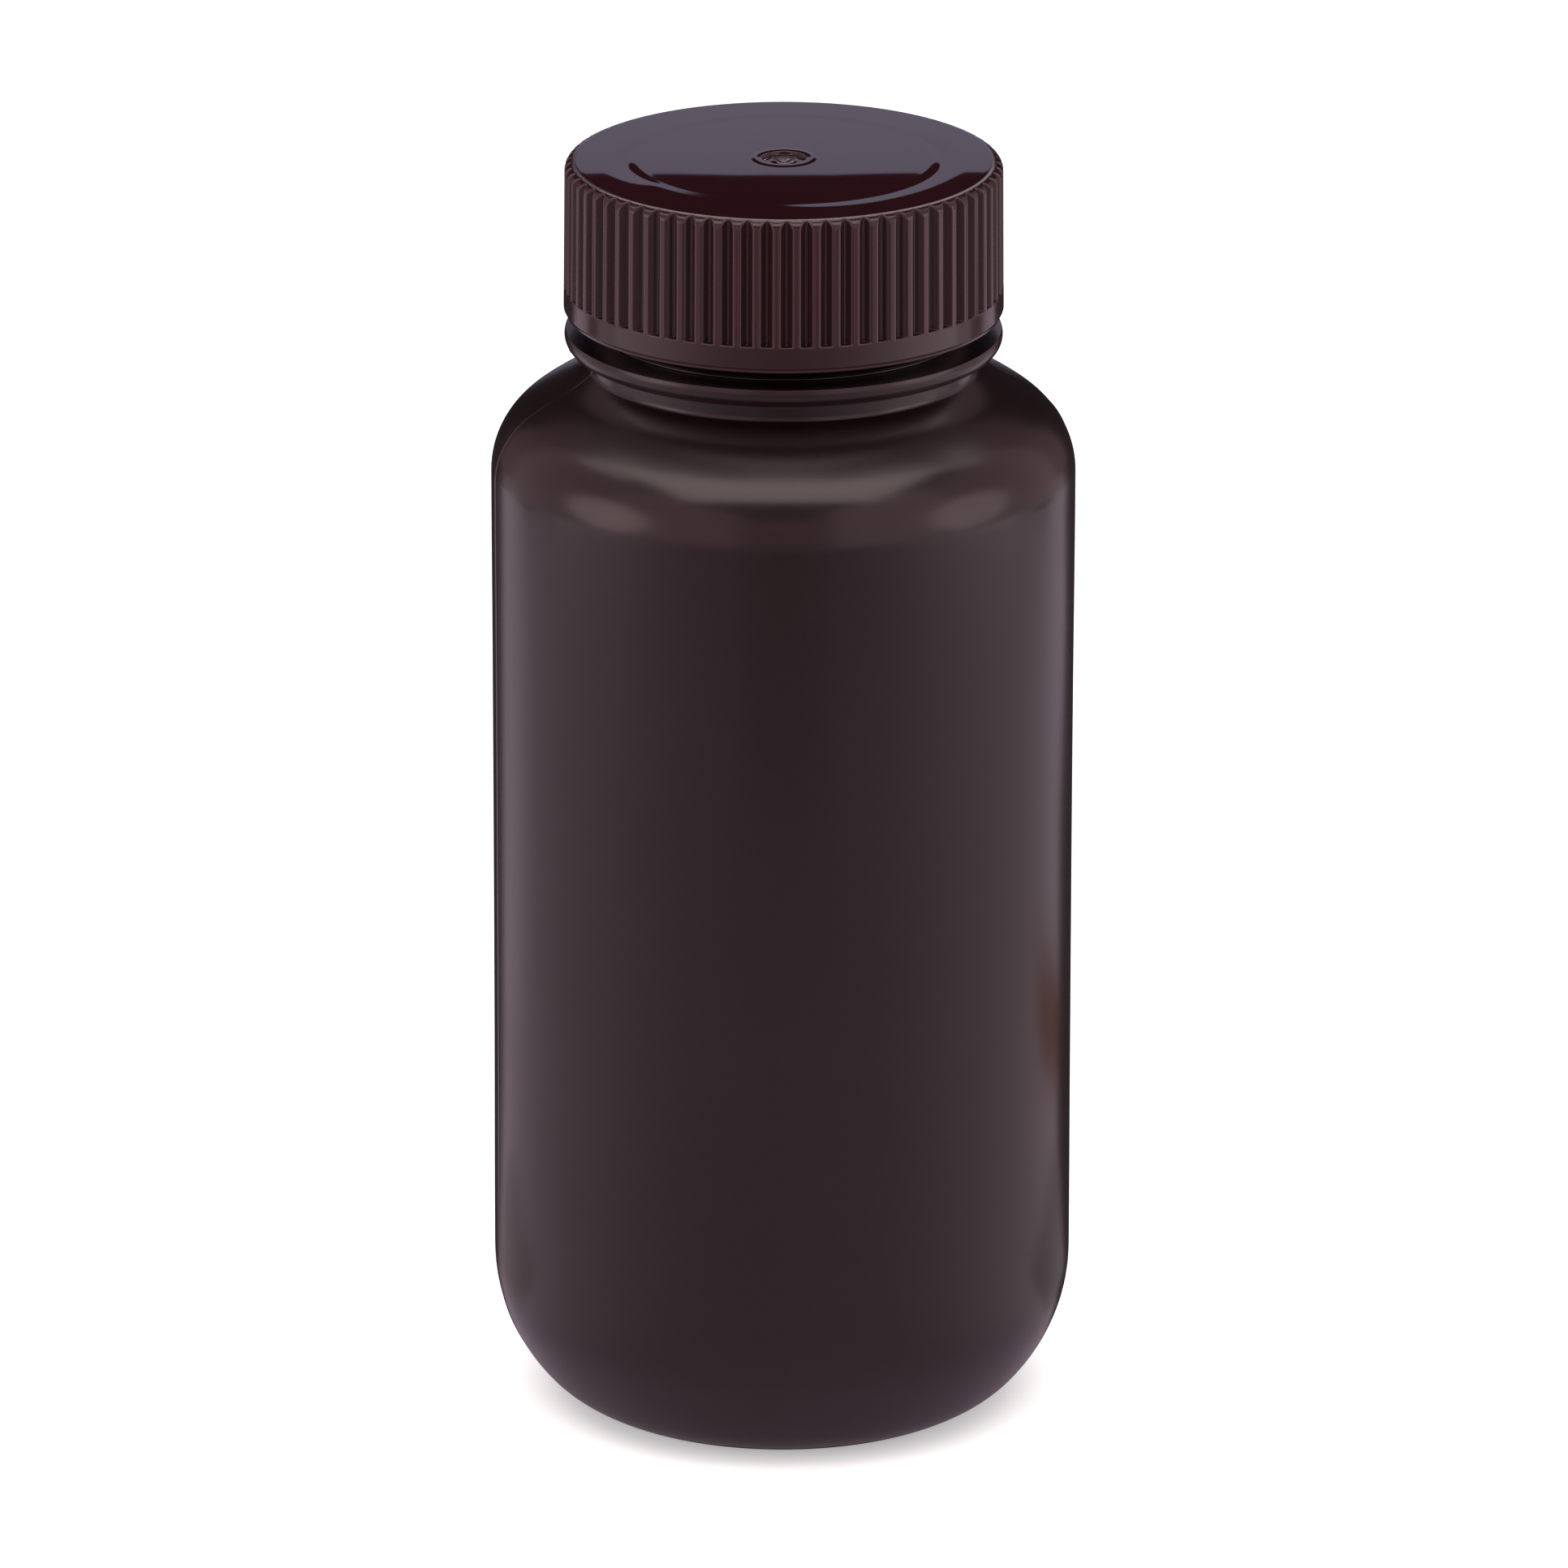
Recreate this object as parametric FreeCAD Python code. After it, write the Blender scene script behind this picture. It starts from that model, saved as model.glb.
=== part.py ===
import FreeCAD, Part
import math
import os

# Wide-mouth reagent bottle, in millimetres, +Z up.
# The origin is the centre of the ring that the bottle stands on.
# Every piece is turned about Z: its outline is drawn in the XZ plane and revolved.

# Body
body_diameter = 75.0
body_wall = 1.5
straight_height = 105.85     # length of the cylindrical wall
heel_radius = 23.0           # large round at the foot of the wall
heel_sweep = 42.0            # degrees from level at which the heel tightens
base_radius = 14.0           # tighter round under the heel
base_sweep = 66.0            # degrees from level at which the foot begins
foot_radius = 4.0            # small round down to the standing ring
standing_ring_width = 3.6
push_up = 3.0                # rise of the base's centre above the standing ring

# Shoulder
shoulder_radius = 10.7
shoulder_sweep = 53.5        # degrees from level at which the crown begins
crown_radius = 33.0          # gentle dome between the shoulder round and the neck

# Neck
mouth_diameter = 44.4
neck_wall = 2.7
neck_fillet = 1.6            # where the neck runs out into the shoulder
neck_length = 3.3            # plain neck between the shoulder and the collar
collar_reach = 3.15          # how far the collar stands out from the neck
collar_round = 1.9           # under the collar and up to its widest place
collar_thickness = 2.65      # to the collar's flat top
finish_height = 19.05        # from the collar's top to the rim
rim_round = 0.8

# Sealing disc
disc_thickness = 1.4
disc_clearance = 0.3         # round the disc, in its seat in the cap

# Cap
thread_space = 1.2           # radial room for the screw thread, neck to cap
seat_space = 0.9             # radial room round the rim, inside the disc's seat
seat_depth = 1.8             # how far the disc's seat reaches down from the top plate
cap_wall = 1.25              # behind the grip grooves
cap_top = 2.0                # top plate
cap_gap = 2.25               # between the cap's lower edge and the collar
cap_draft = 0.5              # degrees; the grip narrows towards the top
cap_edge_round = 1.9
bore_chamfer = 0.5
lip_height = 0.4             # thin lip below the plain band
lip_step = 0.3
band_height = 3.05           # plain band between the lip and the grooves
groove_count = 69            # grip grooves, with sloping sides and a narrow floor
groove_width = 2.2
groove_floor = 0.3
groove_depth = 0.8
panel_margin = 7.7           # from the cap's side to its raised centre panel
panel_rise = 0.3
panel_slope = 0.6            # width of the panel's sloping edge
gate_radius = 2.9            # moulding gate's well in the middle of the panel
gate_ring_width = 1.4
gate_ring_rise = 0.4
gate_depth = 0.4

# Derived places
body_radius = body_diameter / 2
mouth_radius = mouth_diameter / 2
neck_radius = mouth_radius + neck_wall
heel_angle = -math.radians(heel_sweep)
base_angle = -math.radians(base_sweep)
shoulder_angle = math.radians(shoulder_sweep)


def vec(r, z):
    return FreeCAD.Vector(r, 0, z)


def line(start, end):
    return Part.LineSegment(vec(*start), vec(*end)).toShape()


def on_circle(centre, radius, angle):
    return (centre[0] + radius * math.cos(angle), centre[1] + radius * math.sin(angle))


def arc(centre, radius, start, end):
    """Arc about a centre in the XZ plane, from one angle to another, in radians."""
    ends = [on_circle(centre, radius, a) for a in (start, (start + end) / 2, end)]
    return Part.Arc(*[vec(*p) for p in ends]).toShape()


def revolve(edges):
    """Solid of one turn about Z, from an outline that begins and ends on the axis."""
    first = edges[0].Vertexes[0].Point
    last = edges[-1].Vertexes[-1].Point
    wire = Part.Wire(edges + [Part.LineSegment(last, first).toShape()])
    return Part.Face(wire).revolve(vec(0, 0), FreeCAD.Vector(0, 0, 1), 360)


def polygon(points):
    return [line(a, b) for a, b in zip(points, points[1:])]


def disc(radius, bottom, top):
    return Part.makeCylinder(radius, top - bottom, vec(0, bottom))


# Centres of the outline's rounds, each tangent to the next. Both faces of the wall use them.
heel_to_base = on_circle((0, 0), heel_radius - base_radius, heel_angle)
base_to_foot = on_circle((0, 0), base_radius - foot_radius, base_angle)
heel_centre = (body_radius - heel_radius, foot_radius - base_to_foot[1] - heel_to_base[1])
base_centre = (heel_centre[0] + heel_to_base[0], heel_centre[1] + heel_to_base[1])
foot_centre = (base_centre[0] + base_to_foot[0], foot_radius)
shoulder_centre = (body_radius - shoulder_radius, heel_centre[1] + straight_height)
crown_centre = on_circle(shoulder_centre, shoulder_radius - crown_radius, shoulder_angle)
ring_inner_radius = foot_centre[0] - standing_ring_width
dome_radius = (ring_inner_radius ** 2 + push_up ** 2) / (2 * push_up)
dome_centre = (0, push_up - dome_radius)


def hull(inset):
    """The bottle below its neck, closed over the top, drawn in from its outside by inset."""
    dome = dome_radius + inset
    dome_edge = math.asin((inset - dome_centre[1]) / dome)
    dome_foot = on_circle(dome_centre, dome, dome_edge)
    side = body_radius - inset
    top = on_circle(crown_centre, crown_radius - inset, math.pi / 2)
    return revolve([
        arc(dome_centre, dome, math.pi / 2, dome_edge),
        line(dome_foot, (foot_centre[0], inset)),
        arc(foot_centre, foot_radius - inset, -math.pi / 2, base_angle),
        arc(base_centre, base_radius - inset, base_angle, heel_angle),
        arc(heel_centre, heel_radius - inset, heel_angle, 0),
        line((side, heel_centre[1]), (side, shoulder_centre[1])),
        arc(shoulder_centre, shoulder_radius - inset, 0, shoulder_angle),
        arc(crown_centre, crown_radius - inset, shoulder_angle, math.pi / 2),
        line(top, (0, top[1])),
    ])


def height_on_hull(radius):
    """Height of the shoulder's outside at a radius, on the crown or on the shoulder round."""
    centre, size = crown_centre, crown_radius
    if radius > on_circle(crown_centre, crown_radius, shoulder_angle)[0]:
        centre, size = shoulder_centre, shoulder_radius
    return centre[1] + math.sqrt(size ** 2 - (radius - centre[0]) ** 2)


# Heights up the neck and the cap
neck_foot = height_on_hull(neck_radius)
collar_bottom = neck_foot + neck_length
collar_top = collar_bottom + collar_thickness
rim = collar_top + finish_height
plate_bottom = rim + disc_thickness
cap_bottom = collar_top + cap_gap
cap_shoulder = plate_bottom + cap_top - panel_rise   # flat outside the raised panel
bore_radius = neck_radius + thread_space
seat_radius = neck_radius + seat_space


def make_bottle():
    """Blow-moulded body, neck and collar, with the wall's inside cut out."""
    round_centre = (neck_radius + collar_reach - collar_round, collar_bottom + collar_round)
    edge_angle = math.asin(collar_thickness / collar_round - 1)
    collar = revolve([
        line((0, collar_bottom), (round_centre[0], collar_bottom)),
        arc(round_centre, collar_round, -math.pi / 2, edge_angle),
        line(on_circle(round_centre, collar_round, edge_angle), (0, collar_top)),
    ])
    neck = disc(neck_radius, shoulder_centre[1], rim)
    rim_edge = [e for e in neck.Edges if e.BoundBox.ZMin > rim - 1e-6]
    neck = neck.makeFillet(rim_round, rim_edge)
    outside = hull(0).fuse([neck, collar]).removeSplitter()
    joint = [e for e in outside.Edges if abs(e.BoundBox.ZMin - neck_foot) < 1e-4
             and e.BoundBox.ZLength < 1e-4 and abs(e.BoundBox.XMax - neck_radius) < 1e-4]
    outside = outside.makeFillet(neck_fillet, joint)
    inside = hull(body_wall).fuse(disc(mouth_radius, shoulder_centre[1], rim + 1))
    return outside.cut(inside)


def make_sealing_disc():
    return disc(seat_radius - disc_clearance, rim, plate_bottom)


def make_cap():
    """Screw cap: skirt with grip grooves over a plain band, and a top with a raised panel."""
    side = bore_radius + cap_wall + groove_depth
    edge_height = cap_shoulder - cap_edge_round
    side_top = side - (edge_height - cap_bottom) * math.tan(math.radians(cap_draft))
    edge_centre = (side_top - cap_edge_round, edge_height)
    panel = side - panel_margin
    panel_top = cap_shoulder + panel_rise
    gate_outer = gate_radius + gate_ring_width
    gate_middle = (gate_radius + gate_outer) / 2
    band_bottom = cap_bottom + lip_height
    seat_bottom = plate_bottom - seat_depth

    skirt = polygon([
        (0, plate_bottom),
        (seat_radius, plate_bottom),
        (seat_radius, seat_bottom),
        (bore_radius, seat_bottom - thread_space + seat_space),
        (bore_radius, cap_bottom + bore_chamfer),
        (bore_radius + bore_chamfer, cap_bottom),
        (side - lip_step, cap_bottom),
        (side - lip_step, band_bottom),
        (side, band_bottom + lip_step),
        (side_top, edge_height),
    ])
    edge = arc(edge_centre, cap_edge_round, 0, math.pi / 2)
    gate_ring = Part.Arc(vec(gate_outer, panel_top), vec(gate_middle, panel_top + gate_ring_rise),
                         vec(gate_radius, panel_top)).toShape()
    top = polygon([
        (edge_centre[0], cap_shoulder),
        (panel + panel_slope, cap_shoulder),
        (panel, panel_top),
        (gate_outer, panel_top),
    ])
    gate_well = polygon([
        (gate_radius, panel_top),
        (gate_radius - gate_depth, panel_top - gate_depth),
        (0, panel_top - gate_depth),
    ])
    blank = revolve(skirt + [edge] + top + [gate_ring] + gate_well)

    # One groove faces the front, at -Y. The cutter reaches as far out of the side as it goes in.
    groove_bottom = band_bottom + band_height
    floor = side - groove_depth
    mouth_width = 2 * groove_width - groove_floor
    corners = [
        FreeCAD.Vector(-groove_floor / 2, -floor, groove_bottom),
        FreeCAD.Vector(groove_floor / 2, -floor, groove_bottom),
        FreeCAD.Vector(mouth_width / 2, -side - groove_depth, groove_bottom),
        FreeCAD.Vector(-mouth_width / 2, -side - groove_depth, groove_bottom),
    ]
    section = Part.Face(Part.makePolygon(corners + corners[:1]))
    groove = section.extrude(FreeCAD.Vector(0, 0, panel_top - groove_bottom))
    grooves = []
    for i in range(groove_count):
        copy = groove.copy()
        copy.rotate(vec(0, 0), FreeCAD.Vector(0, 0, 1), i * 360 / groove_count)
        grooves.append(copy)
    return blank.cut(grooves)


pieces = {
    "bottle_body": make_bottle(),
    "sealing_disc": make_sealing_disc(),
    "screw_cap": make_cap(),
}

os.makedirs("parts", exist_ok=True)
for name, shape in pieces.items():
    shape.exportStep("parts/" + name + ".step")
    print(name, "solids", len(shape.Solids), "valid", shape.isValid(),
          "volume", round(shape.Volume / 1000, 2), "cm3")
print("height", round(cap_shoulder + panel_rise + gate_ring_rise, 2), "collar", round(collar_bottom, 2),
      "cap", round(cap_bottom, 2), "rim", round(rim, 2))
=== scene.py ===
import bpy
import math
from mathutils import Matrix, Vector


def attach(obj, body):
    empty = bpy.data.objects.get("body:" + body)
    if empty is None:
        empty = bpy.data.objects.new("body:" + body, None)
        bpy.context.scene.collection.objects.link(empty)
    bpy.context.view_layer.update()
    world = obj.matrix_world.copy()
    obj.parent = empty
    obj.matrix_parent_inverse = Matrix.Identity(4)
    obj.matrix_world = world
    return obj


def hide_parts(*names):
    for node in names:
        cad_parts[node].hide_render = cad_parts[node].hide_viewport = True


# Wide-mouth reagent bottle with a ribbed screw cap.
# Shapes are worked out in millimetres, in the same frame as the solids, and turned into metres at the end.
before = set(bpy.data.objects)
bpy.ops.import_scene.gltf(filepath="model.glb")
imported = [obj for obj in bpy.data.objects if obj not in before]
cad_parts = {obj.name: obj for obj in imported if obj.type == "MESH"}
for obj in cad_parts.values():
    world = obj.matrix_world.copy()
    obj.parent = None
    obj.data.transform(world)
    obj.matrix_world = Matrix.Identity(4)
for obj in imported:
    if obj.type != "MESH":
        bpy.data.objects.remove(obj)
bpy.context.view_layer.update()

MM = 0.001
SAME = 1e-6                  # millimetres; closer points count as one

# Body. Angles are degrees from level, at which one round of the outline goes over into the next.
body_radius = 37.5
body_wall = 1.5
heel_radius, heel_angle = 23.0, -42.0
base_radius, base_angle = 14.0, -66.0
foot_radius = 4.0
standing_ring_width = 3.6
push_up = 3.0                # rise of the base's middle above the standing ring
straight_height = 105.85
shoulder_radius, shoulder_angle = 10.7, 53.5
crown_radius = 33.0
waist_depth = 0.06           # the wall draws in a little at half height
wall_ripple = 0.03           # unevenness of the blow-moulded wall
wall_fade = 0.25             # share of the wall over which these set in, from each end
ripple_waves = ((3, 0.09), (2, -0.05))   # waves round the wall, and their lean in radians per millimetre
column_step = 2.0            # degrees between the columns of points

# Neck
mouth_radius = 22.2
neck_wall = 2.7
neck_foot = 139.55           # where the neck's wall ends and its foot begins
foot_bend = (25.2, 138.85)   # between the foot's tight bend and its long run-out on to the crown
foot_slope = 50.0            # degrees from level, of the surface's normal there
foot_reach = 28.6            # radius at which the run-out meets the crown
relief_radius = 23.5         # the neck narrows down to the collar
relief_top = 147.4
collar_bottom = 141.36
collar_thickness = 2.65
collar_reach = 3.15          # how far the collar stands out from the neck
collar_round = 1.9           # under the collar and up to its widest place
collar_edge = 0.1            # softness of the collar's upper edge
collar_fillet = 0.5
finish_height = 19.05        # from the collar's top to the rim
rim_round = 0.8
rim_inner_round = 0.4
mouth_band = 4.0             # height of the mouth's uppermost faces

# Mould marks
parting_angles = (9.7, 189.7)
parting_offsets = (-1.2, -0.6, -0.4, -0.2, 0, 0.2, 0.4, 0.6, 1.2)   # degrees; columns of points there
parting_width = 0.3          # from the line's middle to its edge
parting_height = 0.07
parting_steepness = 1.5
parting_gap = 0.3            # the collar's outermost edge has no parting line

# Sealing disc
disc_thickness = 1.4
disc_clearance = 0.3         # round the disc, in its seat in the cap
disc_edge = 0.15
disc_hub = 2.0               # radius of the innermost ring of points
disc_columns = 120

# Cap
cap_gap = 2.25               # between the collar and the cap's lower edge
thread_space = 1.2           # radial room for the screw thread, neck to cap
seat_space = 0.9             # radial room round the rim, inside the disc's seat
seat_depth = 1.8
bore_chamfer = 0.5
cap_wall = 2.05              # from the bore to the crests of the ribs
cap_plate = 2.0              # top plate, up to the panel
cap_plate_hub = 1.0          # radius of the innermost ring of points under it
cap_draft = 0.5              # degrees
cap_edge_low = 1.2           # radius of the rounded edge, up to a slope of cap_edge_change
cap_edge_high = 1.9          # and from there to the flat
cap_edge_change = 60.0
lip_height, lip_step = 0.4, 0.3
lip_softness = 0.03
band_height = 3.05           # plain band between the lip and the grooves
band_softness = 0.02

# Grip grooves
groove_count = 69
front_angle = -90.0          # a groove faces the front
groove_depth = 0.95
groove_columns = (0, 0.12, 0.3, 0.5, 0.68, 0.76, 0.84, 0.92, 1.0, 1.08)   # from a groove's middle
coarse_step = 6              # the top and the inside have every sixth column
rib_flat = 0.4               # width of a rib's flat crest
rib_round = 0.45             # round of the crest's edges
rib_wall = 52.0              # degrees; slope of the groove's sides
rib_highlight_width = 0.14        # width of the painted highlight along the edge of a rib
ledge_round = 0.18           # edge of the plain band under each groove
ledge_steepness = 9.0
ledge_below = (1.6, 1, 0.6, 0.3, 0.1, 0)         # rings under the ledge, in ledge rounds
ledge_above = (0.03, 0.06, 0.09, 0.13, 0.4)      # and above it
groove_softness = 0.02       # blend where the grooves cut the skirt
edge_softness = 0.1          # and more of it where they run out at the top edge
edge_inset = 0.4             # how far in from the crests that is reached

# Cap's top
panel_radius = 18.7          # at the top of the panel's soft edge
panel_rise = 0.3
panel_dome = 0.167
panel_step = 1.6             # width of the panel's soft edge
ring_slope = 0.02            # the flat round the panel falls away towards the edge
hollow_depth = 0.06          # shallow, uneven hollow along the foot of the panel's edge
hollow_reach = 3.2           # how far it runs out over the flat round the panel
hollow_right = (-125.0, -55.0, 5.0, 45.0)        # degrees: sets in, is full, is still full, has gone
hollow_left = 186.0          # middle of its other part
hollow_left_half = 34.0
hollow_left_fade = 26.0
gate_radius = 2.9
gate_margin = 0.3            # round the gate's ring
gate_ring_width = 1.4
gate_ring_rise = 0.05
gate_depth = 0.4
gate_pin_radius = 0.9
gate_pin_height = 0.25
gate_pin_crown = 0.02
gate_softness = 0.04

# Screw thread, right-hand
thread_lead = 4.2
thread_turns = 1.9
thread_start = 150.2         # height of the neck thread's middle where it begins
thread_depth = 1.0
thread_half = 1.1            # half the thread's width at its root
thread_flank = 0.75
thread_runout = 0.08         # turns over which each end fades away
thread_margin = 1.2          # close rings begin this far below the thread's start
thread_play = 1.35           # the cap's thread lies this far below the neck's thread

# Places that follow
neck_radius = mouth_radius + neck_wall
collar_radius = neck_radius + collar_reach
collar_top = collar_bottom + collar_thickness
rim = collar_top + finish_height
plate_bottom = rim + disc_thickness
bore_radius = neck_radius + thread_space
seat_radius = neck_radius + seat_space
seat_bottom = plate_bottom - seat_depth
disc_radius = seat_radius - disc_clearance
cap_bottom = collar_top + cap_gap
cap_radius = bore_radius + cap_wall
cap_shoulder = plate_bottom + cap_plate - panel_rise
groove_bottom = cap_bottom + lip_height + band_height
groove_period = 360 / groove_count


# Outlines: lists of (radius, height) points

def spaced(start, end, steps):
    """Values at even steps from start to end."""
    return [start + (end - start) * i / steps for i in range(steps + 1)]


def on_circle(centre, radius, angle):
    turn = math.radians(angle)
    return (centre[0] + radius * math.cos(turn), centre[1] + radius * math.sin(turn))


def arc(centre, radius, start, end, steps):
    return [on_circle(centre, radius, angle) for angle in spaced(start, end, steps)]


def line(start, end, steps):
    return list(zip(spaced(start[0], end[0], steps), spaced(start[1], end[1], steps)))


def bend(start, start_normal, end, end_normal, steps):
    """Curve between two points with given directions of its normal, in degrees from level."""
    a = math.radians(start_normal)
    b = math.radians(end_normal)
    across = end[0] - start[0]
    down = start[1] - end[1]
    reach = (across * math.cos(b) - down * math.sin(b)) / math.sin(a - b)
    corner = (start[0] + reach * math.sin(a), start[1] - reach * math.cos(a))
    points = []
    for share in spaced(0, 1, steps):
        weights = ((1 - share) ** 2, 2 * share * (1 - share), share ** 2)
        points.append(tuple(sum(w * p[k] for w, p in zip(weights, (start, corner, end))) for k in (0, 1)))
    return points


def join_outlines(*runs):
    """One outline from several runs, without the points that two runs share."""
    points = []
    for run in runs:
        for point in run:
            if not points or math.dist(point, points[-1]) > SAME:
                points.append(point)
    return points


def smooth(value):
    value = min(max(value, 0.0), 1.0)
    return value * value * (3 - 2 * value)


def soft_min(a, b, blend):
    overlap = max(blend - abs(a - b), 0) / blend
    return min(a, b) - overlap * overlap * blend / 4


def angle_from(angle, middle):
    """Degrees from a middle, between -180 and 180."""
    return (angle - middle + 180) % 360 - 180


class Skin:
    """Gathers rings of points about Z, in millimetres, and the faces between them."""

    def __init__(self):
        self.points = []
        self.marks = []
        self.faces = []
        self.materials = []

    def ring(self, angles, place, mark=lambda angle: 0.0):
        """Ring of points.

        At an angle in degrees, place gives a point's radius and height, and mark a value from 0 to 1.
        """
        first = len(self.points)
        for angle in angles:
            radius, height = place(angle)
            turn = math.radians(angle)
            self.points.append((radius * math.cos(turn) * MM, radius * math.sin(turn) * MM, height * MM))
            self.marks.append(mark(angle))
        return list(range(first, len(self.points)))

    def pole(self, height):
        self.points.append((0, 0, height * MM))
        self.marks.append(0.0)
        return [len(self.points) - 1]

    def join(self, a, b, material=0):
        """Faces from ring a to ring b. One may be a pole, or have a multiple of the other's points."""
        sides = min(len(a), len(b))
        if sides == 1:
            sides = max(len(a), len(b))
        for i in range(sides):
            low = self.run(a, i, sides)
            high = self.run(b, i, sides)
            self.faces.append(low + high[::-1])
            self.materials.append(material)

    def run(self, ring, side, sides):
        """The ring's points along one of its sides."""
        if len(ring) == 1:
            return ring
        step = len(ring) // sides
        return [ring[k % len(ring)] for k in range(side * step, side * step + step + 1)]

    def chain(self, rings, material=0):
        for a, b in zip(rings, rings[1:]):
            self.join(a, b, material)

    def make(self, name, materials):
        mesh = bpy.data.meshes.new(name)
        mesh.from_pydata(self.points, [], self.faces)
        mesh.polygons.foreach_set("use_smooth", [True] * len(self.faces))
        mesh.polygons.foreach_set("material_index", self.materials)
        # The marks go in as the point attribute named edge, where the cap's side material paints a highlight.
        if any(self.marks):
            edge = mesh.attributes.new("edge", "FLOAT", "POINT")
            edge.data.foreach_set("value", self.marks)
        for material in materials:
            mesh.materials.append(material)
        obj = bpy.data.objects.new(name, mesh)
        bpy.context.scene.collection.objects.link(obj)
        return obj


def plain(radius, height):
    return lambda angle: (radius, height)


def thread_rise(angle, height, start):
    """Height of a screw thread's ridge above its root, from 0 to 1, at an angle and a height."""
    rise = 0.0
    for turn in range(int(thread_turns) + 1):
        along = (angle % 360) / 360 + turn
        if along > thread_turns:
            continue
        off = abs(height - start - thread_lead * along)
        flank = smooth((thread_half - off) / thread_flank)
        ends = smooth(along / thread_runout) * smooth((thread_turns - along) / thread_runout)
        rise = max(rise, flank * ends)
    return rise


# Bottle: a blow-moulded wall with an outside and an inside

heel_to_base = on_circle((0, 0), heel_radius - base_radius, heel_angle)
base_to_foot = on_circle((0, 0), base_radius - foot_radius, base_angle)
heel_centre = (body_radius - heel_radius, foot_radius - base_to_foot[1] - heel_to_base[1])
base_centre = (heel_centre[0] + heel_to_base[0], heel_centre[1] + heel_to_base[1])
foot_centre = (base_centre[0] + base_to_foot[0], foot_radius)
shoulder_centre = (body_radius - shoulder_radius, heel_centre[1] + straight_height)
crown_centre = on_circle(shoulder_centre, shoulder_radius - crown_radius, shoulder_angle)
ring_inner = foot_centre[0] - standing_ring_width
dome_radius = (ring_inner ** 2 + push_up ** 2) / (2 * push_up)
dome_centre = (0, push_up - dome_radius)


def hull_outline(inset, crown_end, fineness):
    """The wall from the middle of the base to an angle on the crown, drawn in by inset."""
    dome = dome_radius + inset
    dome_edge = math.degrees(math.asin((inset - dome_centre[1]) / dome))
    side = body_radius - inset
    return join_outlines(
        arc(dome_centre, dome, 90, dome_edge, 6 * fineness),
        line(on_circle(dome_centre, dome, dome_edge), (foot_centre[0], inset), fineness),
        arc(foot_centre, foot_radius - inset, -90, base_angle, 4 * fineness),
        arc(base_centre, base_radius - inset, base_angle, heel_angle, 5 * fineness),
        arc(heel_centre, heel_radius - inset, heel_angle, 0, 7 * fineness),
        line((side, heel_centre[1]), (side, shoulder_centre[1]), 14 * fineness),
        arc(shoulder_centre, shoulder_radius - inset, 0, shoulder_angle, 8 * fineness),
        arc(crown_centre, crown_radius - inset, shoulder_angle, crown_end, 5 * fineness),
    )


def neck_outline():
    """From the crown up the outside of the neck, over the rim and into the mouth.

    Also gives the angle at which the crown ends.
    """
    crown_end = math.degrees(math.acos((foot_reach - crown_centre[0]) / crown_radius))
    crown_edge = on_circle(crown_centre, crown_radius, crown_end)
    round_centre = (collar_radius - collar_round, collar_bottom + collar_round)
    edge_rise = collar_top - collar_edge - round_centre[1]
    edge_angle = math.degrees(math.asin(edge_rise / (collar_round - collar_edge)))
    edge_centre = on_circle(round_centre, collar_round - collar_edge, edge_angle)
    corner = (neck_radius + collar_fillet, collar_bottom - collar_fillet)
    inner = rim - rim_inner_round
    outline = join_outlines(
        bend(foot_bend, foot_slope, crown_edge, crown_end, 12)[::-1],
        bend((neck_radius, neck_foot), 0, foot_bend, foot_slope, 8)[::-1],
        line((neck_radius, neck_foot), (neck_radius, corner[1]), 5),
        arc(corner, collar_fillet, 180, 90, 4),
        arc(round_centre, collar_round, -90, edge_angle, 16),
        arc(edge_centre, collar_edge, edge_angle, 90, 6),
        line((round_centre[0], collar_top), (relief_radius, collar_top), 4),
        line((relief_radius, collar_top), (neck_radius, relief_top), 12),
        line((neck_radius, thread_start - thread_margin), (neck_radius, rim - rim_round), 54),
        arc((neck_radius - rim_round, rim - rim_round), rim_round, 0, 90, 6),
        arc((mouth_radius + rim_inner_round, inner), rim_inner_round, 90, 180, 4),
        line((mouth_radius, inner), (mouth_radius, rim - mouth_band), 2),
    )
    return outline, crown_end


def bottle_columns():
    """Angles round the bottle, closer together at the two parting lines."""
    angles = [column_step * i for i in range(round(360 / column_step))]
    for parting in parting_angles:
        angles = [a for a in angles if abs(a - parting) > parting_offsets[-1]]
        angles += [parting + offset for offset in parting_offsets]
    return sorted(angles)


def bottle_place(radius, height, outside):
    """Where a point of the outline lies at each angle: waist, ripple, thread and mould marks."""
    straight = (height - heel_centre[1]) / straight_height
    slack = smooth(straight / wall_fade) * smooth((1 - straight) / wall_fade)
    on_finish = outside and abs(radius - neck_radius) < SAME and height > collar_top
    marked = radius < collar_radius - parting_gap or height < collar_bottom
    marked = marked and outside and height > foot_radius

    def place(angle):
        turn = math.radians(angle)
        ripple = 0.5
        for waves, lean in ripple_waves:
            ripple += 0.25 * math.sin(waves * turn + lean * height)
        r = radius - slack * (waist_depth * math.sin(math.pi * straight) + wall_ripple * ripple)
        if on_finish:
            r += thread_depth * thread_rise(angle, height, thread_start)
        if marked:
            off = min(abs(angle_from(angle, parting)) for parting in parting_angles)
            across = math.radians(off) * radius / parting_width
            r += parting_height * smooth(parting_steepness * (1 - across))
        return r, height

    return place


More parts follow.
